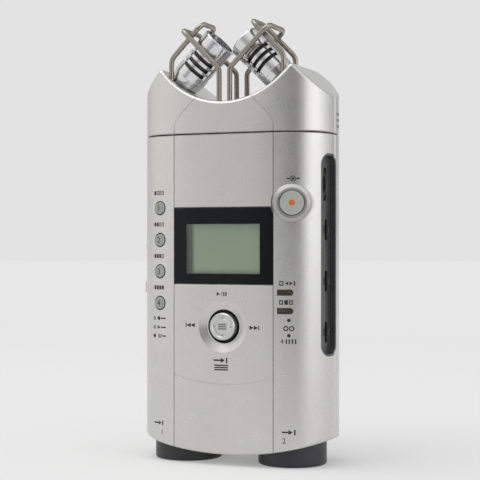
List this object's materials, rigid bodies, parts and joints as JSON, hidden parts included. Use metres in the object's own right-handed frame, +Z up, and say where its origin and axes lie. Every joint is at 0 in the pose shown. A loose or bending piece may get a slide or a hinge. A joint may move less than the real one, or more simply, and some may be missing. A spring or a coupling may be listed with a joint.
{
  "type": "portable field recorder",
  "caption": "Handheld stereo recorder: silver shell, crossed condenser microphones behind wire guards, LCD, five-way stick, side gain switches and combination input jacks.",
  "frame": {"origin": "on the surface it stands on, on the axis of the body's plan section", "axes": "+Z up the body towards the microphones, control face towards -Y, +X to the right seen from the front"},
  "size_m": [0.07, 0.0355, 0.1547],
  "materials": {
    "silver_shell": "satin silver paint",
    "silver_button": "satin silver paint",
    "power_knob": "satin silver paint",
    "display_black": "gloss",
    "display_clear": "clear",
    "lcd_glass": "reflective",
    "indicator": "translucent smoke",
    "black_plastic": "fine matt",
    "mic_chrome": "polished",
    "guard_wire": "satin nickel",
    "capsule": "dull",
    "neck": "matt",
    "steel": "plain",
    "contact_brass": "plated",
    "circuit_board": "solder mask",
    "cell": "printed sleeve"
  },
  "bodies": {
    "root": {"aa_cells": "cell", "battery_contacts": "steel", "battery_tray": "black_plastic", "cap_center_panel": "silver_shell", "cap_front_shell": "silver_shell", "cap_rear_shell": "silver_shell", "card_socket": "black_plastic", "case_screws": "steel", "center_panel": "silver_shell", "dc_in_jack": "black_plastic", "display_bezel": "display_black", "display_window": "display_clear", "front_shell": "silver_shell", "gain_switch_board": "circuit_board", "gain_switch_bodies": "steel", "inner_guards": "guard_wire", "input_contacts": "contact_brass", "input_insert_left": "black_plastic", "input_insert_right": "black_plastic", "input_jack_left": "black_plastic", "input_jack_right": "black_plastic", "jog_encoder": "steel", "lcd_module": "lcd_glass", "led_lenses": "indicator", "line_out_jack": "black_plastic", "main_board": "circuit_board", "mic_barrel_left": "mic_chrome", "mic_barrel_right": "mic_chrome", "mic_capsules": "capsule", "mic_frame": "steel", "mic_head_left": "mic_chrome", "mic_head_right": "mic_chrome", "mic_necks": "neck", "mode_led_dots": "indicator", "outer_guards": "guard_wire", "phones_jack": "black_plastic", "power_switch_body": "steel", "rear_shell": "silver_shell", "side_strip": "black_plastic", "stick_base": "black_plastic", "tact_switches": "steel", "usb_socket": "steel", "volume_pot": "steel"},
    "rec_button_body": {"rec_button": "silver_button"},
    "track_key_1_body": {"track_key_1": "silver_button"},
    "track_key_2_body": {"track_key_2": "silver_button"},
    "track_key_3_body": {"track_key_3": "silver_button"},
    "track_key_4_body": {"track_key_4": "silver_button"},
    "stick_plunger_body": {"stick_plunger": "steel"},
    "stick_gimbal_body": {"stick_gimbal": "steel"},
    "menu_stick_body": {"menu_cap": "silver_button", "menu_skirt": "black_plastic"},
    "jog_wheel_body": {"jog_wheel": "black_plastic"},
    "mic_gain_body": {"mic_gain_knob": "black_plastic"},
    "input_1_gain_body": {"input_1_gain_knob": "black_plastic"},
    "input_2_gain_body": {"input_2_gain_knob": "black_plastic"},
    "power_knob_body": {"power_switch_knob": "power_knob"},
    "volume_wheel_body": {"volume_wheel": "black_plastic"},
    "battery_door_body": {"battery_door": "silver_shell"},
    "memory_card_body": {"memory_card": "black_plastic"}
  },
  "joints": [
    {"name": "rec_press", "type": "slide", "parent": "root", "child": "rec_button_body", "axis": [-0.3019, 0.9533, 0], "range_m": [0, 0.0004], "stiffness_N_per_m": 1500},
    {"name": "track_key_1_press", "type": "slide", "parent": "root", "child": "track_key_1_body", "axis": [0.2874, 0.9578, 0], "range_m": [0, 0.0004], "stiffness_N_per_m": 1500},
    {"name": "track_key_2_press", "type": "slide", "parent": "root", "child": "track_key_2_body", "axis": [0.2874, 0.9578, 0], "range_m": [0, 0.0004], "stiffness_N_per_m": 1500},
    {"name": "track_key_3_press", "type": "slide", "parent": "root", "child": "track_key_3_body", "axis": [0.2874, 0.9578, 0], "range_m": [0, 0.0004], "stiffness_N_per_m": 1500},
    {"name": "track_key_4_press", "type": "slide", "parent": "root", "child": "track_key_4_body", "axis": [0.2874, 0.9578, 0], "range_m": [0, 0.0004], "stiffness_N_per_m": 1500},
    {"name": "menu_press", "type": "slide", "parent": "root", "child": "stick_plunger_body", "axis": [0, 1, 0], "range_m": [0, 0.00025], "stiffness_N_per_m": 1500},
    {"name": "menu_tilt_left_right", "type": "hinge", "parent": "stick_plunger_body", "child": "stick_gimbal_body", "pos_m": [0, -0.0133, 0.0481], "axis": [0, 0, 1], "range_deg": [-4.5, 4.5], "stiffness_Nm_per_rad": 0.05},
    {"name": "menu_tilt_up_down", "type": "hinge", "parent": "stick_gimbal_body", "child": "menu_stick_body", "pos_m": [0, -0.0133, 0.0481], "axis": [1, 0, 0], "range_deg": [-4.5, 4.5], "stiffness_Nm_per_rad": 0.05},
    {"name": "jog_spin", "type": "hinge", "parent": "root", "child": "jog_wheel_body", "pos_m": [0.02695, 0, 0.09715], "axis": [0, 1, 0], "continuous": true},
    {"name": "mic_gain_slide", "type": "slide", "parent": "root", "child": "mic_gain_body", "axis": [0, 0, 1], "range_m": [-0.002, 0.002]},
    {"name": "input_1_gain_slide", "type": "slide", "parent": "root", "child": "input_1_gain_body", "axis": [0, 0, 1], "range_m": [-0.002, 0.002]},
    {"name": "input_2_gain_slide", "type": "slide", "parent": "root", "child": "input_2_gain_body", "axis": [0, 0, 1], "range_m": [-0.002, 0.002]},
    {"name": "power_slide", "type": "slide", "parent": "root", "child": "power_knob_body", "axis": [0, 0, 1], "range_m": [-0.003, 0]},
    {"name": "volume_turn", "type": "hinge", "parent": "root", "child": "volume_wheel_body", "pos_m": [-0.0266, 0, 0.0754], "axis": [0, 1, 0], "range_deg": [-150, 150]},
    {"name": "battery_door_slide", "type": "slide", "parent": "root", "child": "battery_door_body", "axis": [0, 0, -1], "range_m": [0, 0.01]},
    {"name": "memory_card_slide", "type": "slide", "parent": "root", "child": "memory_card_body", "axis": [0, 0, -1], "range_m": [-0.0008, 0.004]}
  ]
}
